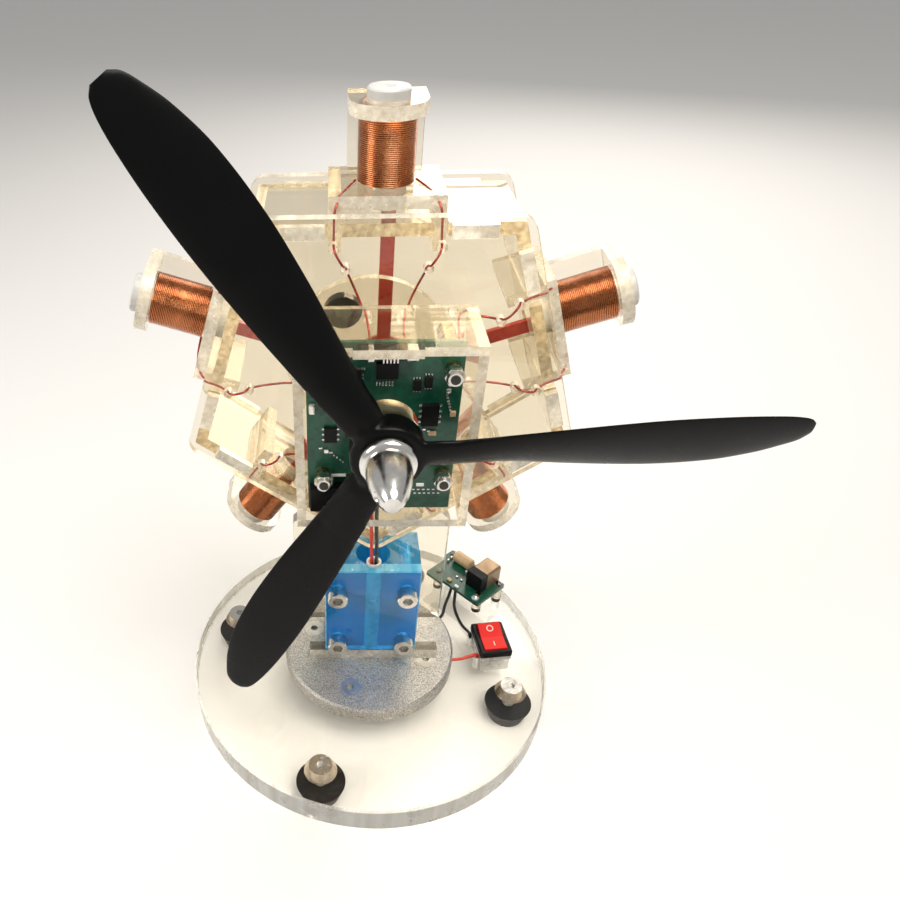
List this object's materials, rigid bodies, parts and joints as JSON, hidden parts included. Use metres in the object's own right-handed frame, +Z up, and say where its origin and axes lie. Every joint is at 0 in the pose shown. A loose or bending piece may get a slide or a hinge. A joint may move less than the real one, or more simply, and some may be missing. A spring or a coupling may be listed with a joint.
{
  "type": "demonstration electric motor",
  "caption": "Radial solenoid motor for classroom demonstration: coils in a clear pentagonal case turn a propeller, on a clamped post and round clear base with switch and power board.",
  "frame": {"origin": "centre of the round base on the surface that the feet stand on", "axes": "+Z up, shaft along Y with the propeller facing -Y, +X to the right of a viewer who faces the propeller"},
  "size_m": [0.2134, 0.162, 0.2721],
  "materials": {
    "clear_acrylic": "polished",
    "base_acrylic": "polished",
    "black_rubber": "matte",
    "nickel_steel": "polished",
    "cast_grey": "satin",
    "blue_anodised": "satin",
    "white_plastic": "satin",
    "copper_wire": "polished",
    "bright_steel": "polished",
    "red_plastic": "satin",
    "black_plastic": "satin",
    "brass": "satin",
    "green_board": "satin",
    "chip_black": "matte",
    "translucent_nylon": "satin",
    "red_wire": "satin",
    "black_wire": "satin",
    "capacitor_can": "satin"
  },
  "bodies": {
    "stand": {"base_plate": "base_acrylic", "bearing_tube": "nickel_steel", "board_nuts": "nickel_steel", "board_parts": "chip_black", "board_spacers": "brass", "cable_sleeve": "white_plastic", "clamp_bolts": "nickel_steel", "clamp_core": "blue_anodised", "clamp_foot_screws": "nickel_steel", "clamp_foot_strip": "clear_acrylic", "clamp_front_plate": "blue_anodised", "coil_holder_1": "clear_acrylic", "coil_holder_2": "clear_acrylic", "coil_holder_3": "clear_acrylic", "coil_holder_4": "clear_acrylic", "coil_holder_5": "clear_acrylic", "coil_leads": "copper_wire", "coil_tubes": "white_plastic", "coil_winding_1": "copper_wire", "coil_winding_2": "copper_wire", "coil_winding_3": "copper_wire", "coil_winding_4": "copper_wire", "coil_winding_5": "copper_wire", "control_board": "green_board", "crankcase_back": "clear_acrylic", "crankcase_front": "clear_acrylic", "crankcase_walls": "clear_acrylic", "disc_screws": "nickel_steel", "foot_cup_washers": "nickel_steel", "foot_screws": "nickel_steel", "frame_nuts": "nickel_steel", "motor_lead_black": "black_wire", "motor_lead_red": "red_wire", "mounting_disc": "cast_grey", "pcb_box": "clear_acrylic", "power_board": "green_board", "power_capacitor": "capacitor_can", "power_jack": "nickel_steel", "power_posts": "clear_acrylic", "rubber_feet": "black_rubber", "shaft_bearings": "bright_steel", "support_post": "clear_acrylic", "switch_bezel": "black_plastic", "switch_body": "translucent_nylon", "switch_lead": "black_wire"},
    "rotor": {"crankshaft": "bright_steel", "crank_disc": "clear_acrylic", "counterweight": "black_plastic", "propeller": "black_plastic", "prop_collar": "nickel_steel", "spinner_nut": "nickel_steel"},
    "rod_star": {"rod_hub": "red_plastic", "connecting_rods": "red_plastic", "rod_pins": "bright_steel"},
    "rocker": {"rocker": "red_plastic"},
    "plunger_1": {"plunger_1": "bright_steel"},
    "plunger_2": {"plunger_2": "bright_steel"},
    "plunger_3": {"plunger_3": "bright_steel"},
    "plunger_4": {"plunger_4": "bright_steel"},
    "plunger_5": {"plunger_5": "bright_steel"}
  },
  "joints": [
    {"name": "propeller_spin", "type": "hinge", "parent": "stand", "child": "rotor", "pos_m": [0, -0.0427, 0.16596], "axis": [0, 1, 0], "continuous": true},
    {"name": "crank_pin_turn", "type": "hinge", "parent": "rotor", "child": "rod_star", "pos_m": [0.00133, 0.015, 0.16384], "axis": [0, 1, 0], "continuous": true},
    {"name": "plunger_1_slide", "type": "slide", "parent": "stand", "child": "plunger_1", "axis": [0, 0, 1], "range_m": [-0.00038, 0.00462]},
    {"name": "plunger_2_slide", "type": "slide", "parent": "stand", "child": "plunger_2", "axis": [0.9511, 0, 0.309], "range_m": [-0.00311, 0.00189]},
    {"name": "plunger_3_slide", "type": "slide", "parent": "stand", "child": "plunger_3", "axis": [0.5878, 0, -0.809], "range_m": [-0.00499, 0.00001]},
    {"name": "plunger_4_slide", "type": "slide", "parent": "stand", "child": "plunger_4", "axis": [-0.5878, 0, -0.809], "range_m": [-0.00344, 0.00156]},
    {"name": "plunger_5_slide", "type": "slide", "parent": "stand", "child": "plunger_5", "axis": [-0.9511, 0, 0.309], "range_m": [-0.00059, 0.00441]},
    {"name": "rocker_tip", "type": "hinge", "parent": "stand", "child": "rocker", "pos_m": [0.0575, 0.005, 0.0251], "axis": [0.9925, 0.1219, 0], "range_deg": [-16, 0]}
  ],
  "couplings": [
    {"joint": "crank_pin_turn", "follows": "propeller_spin", "ratio": -1}
  ]
}
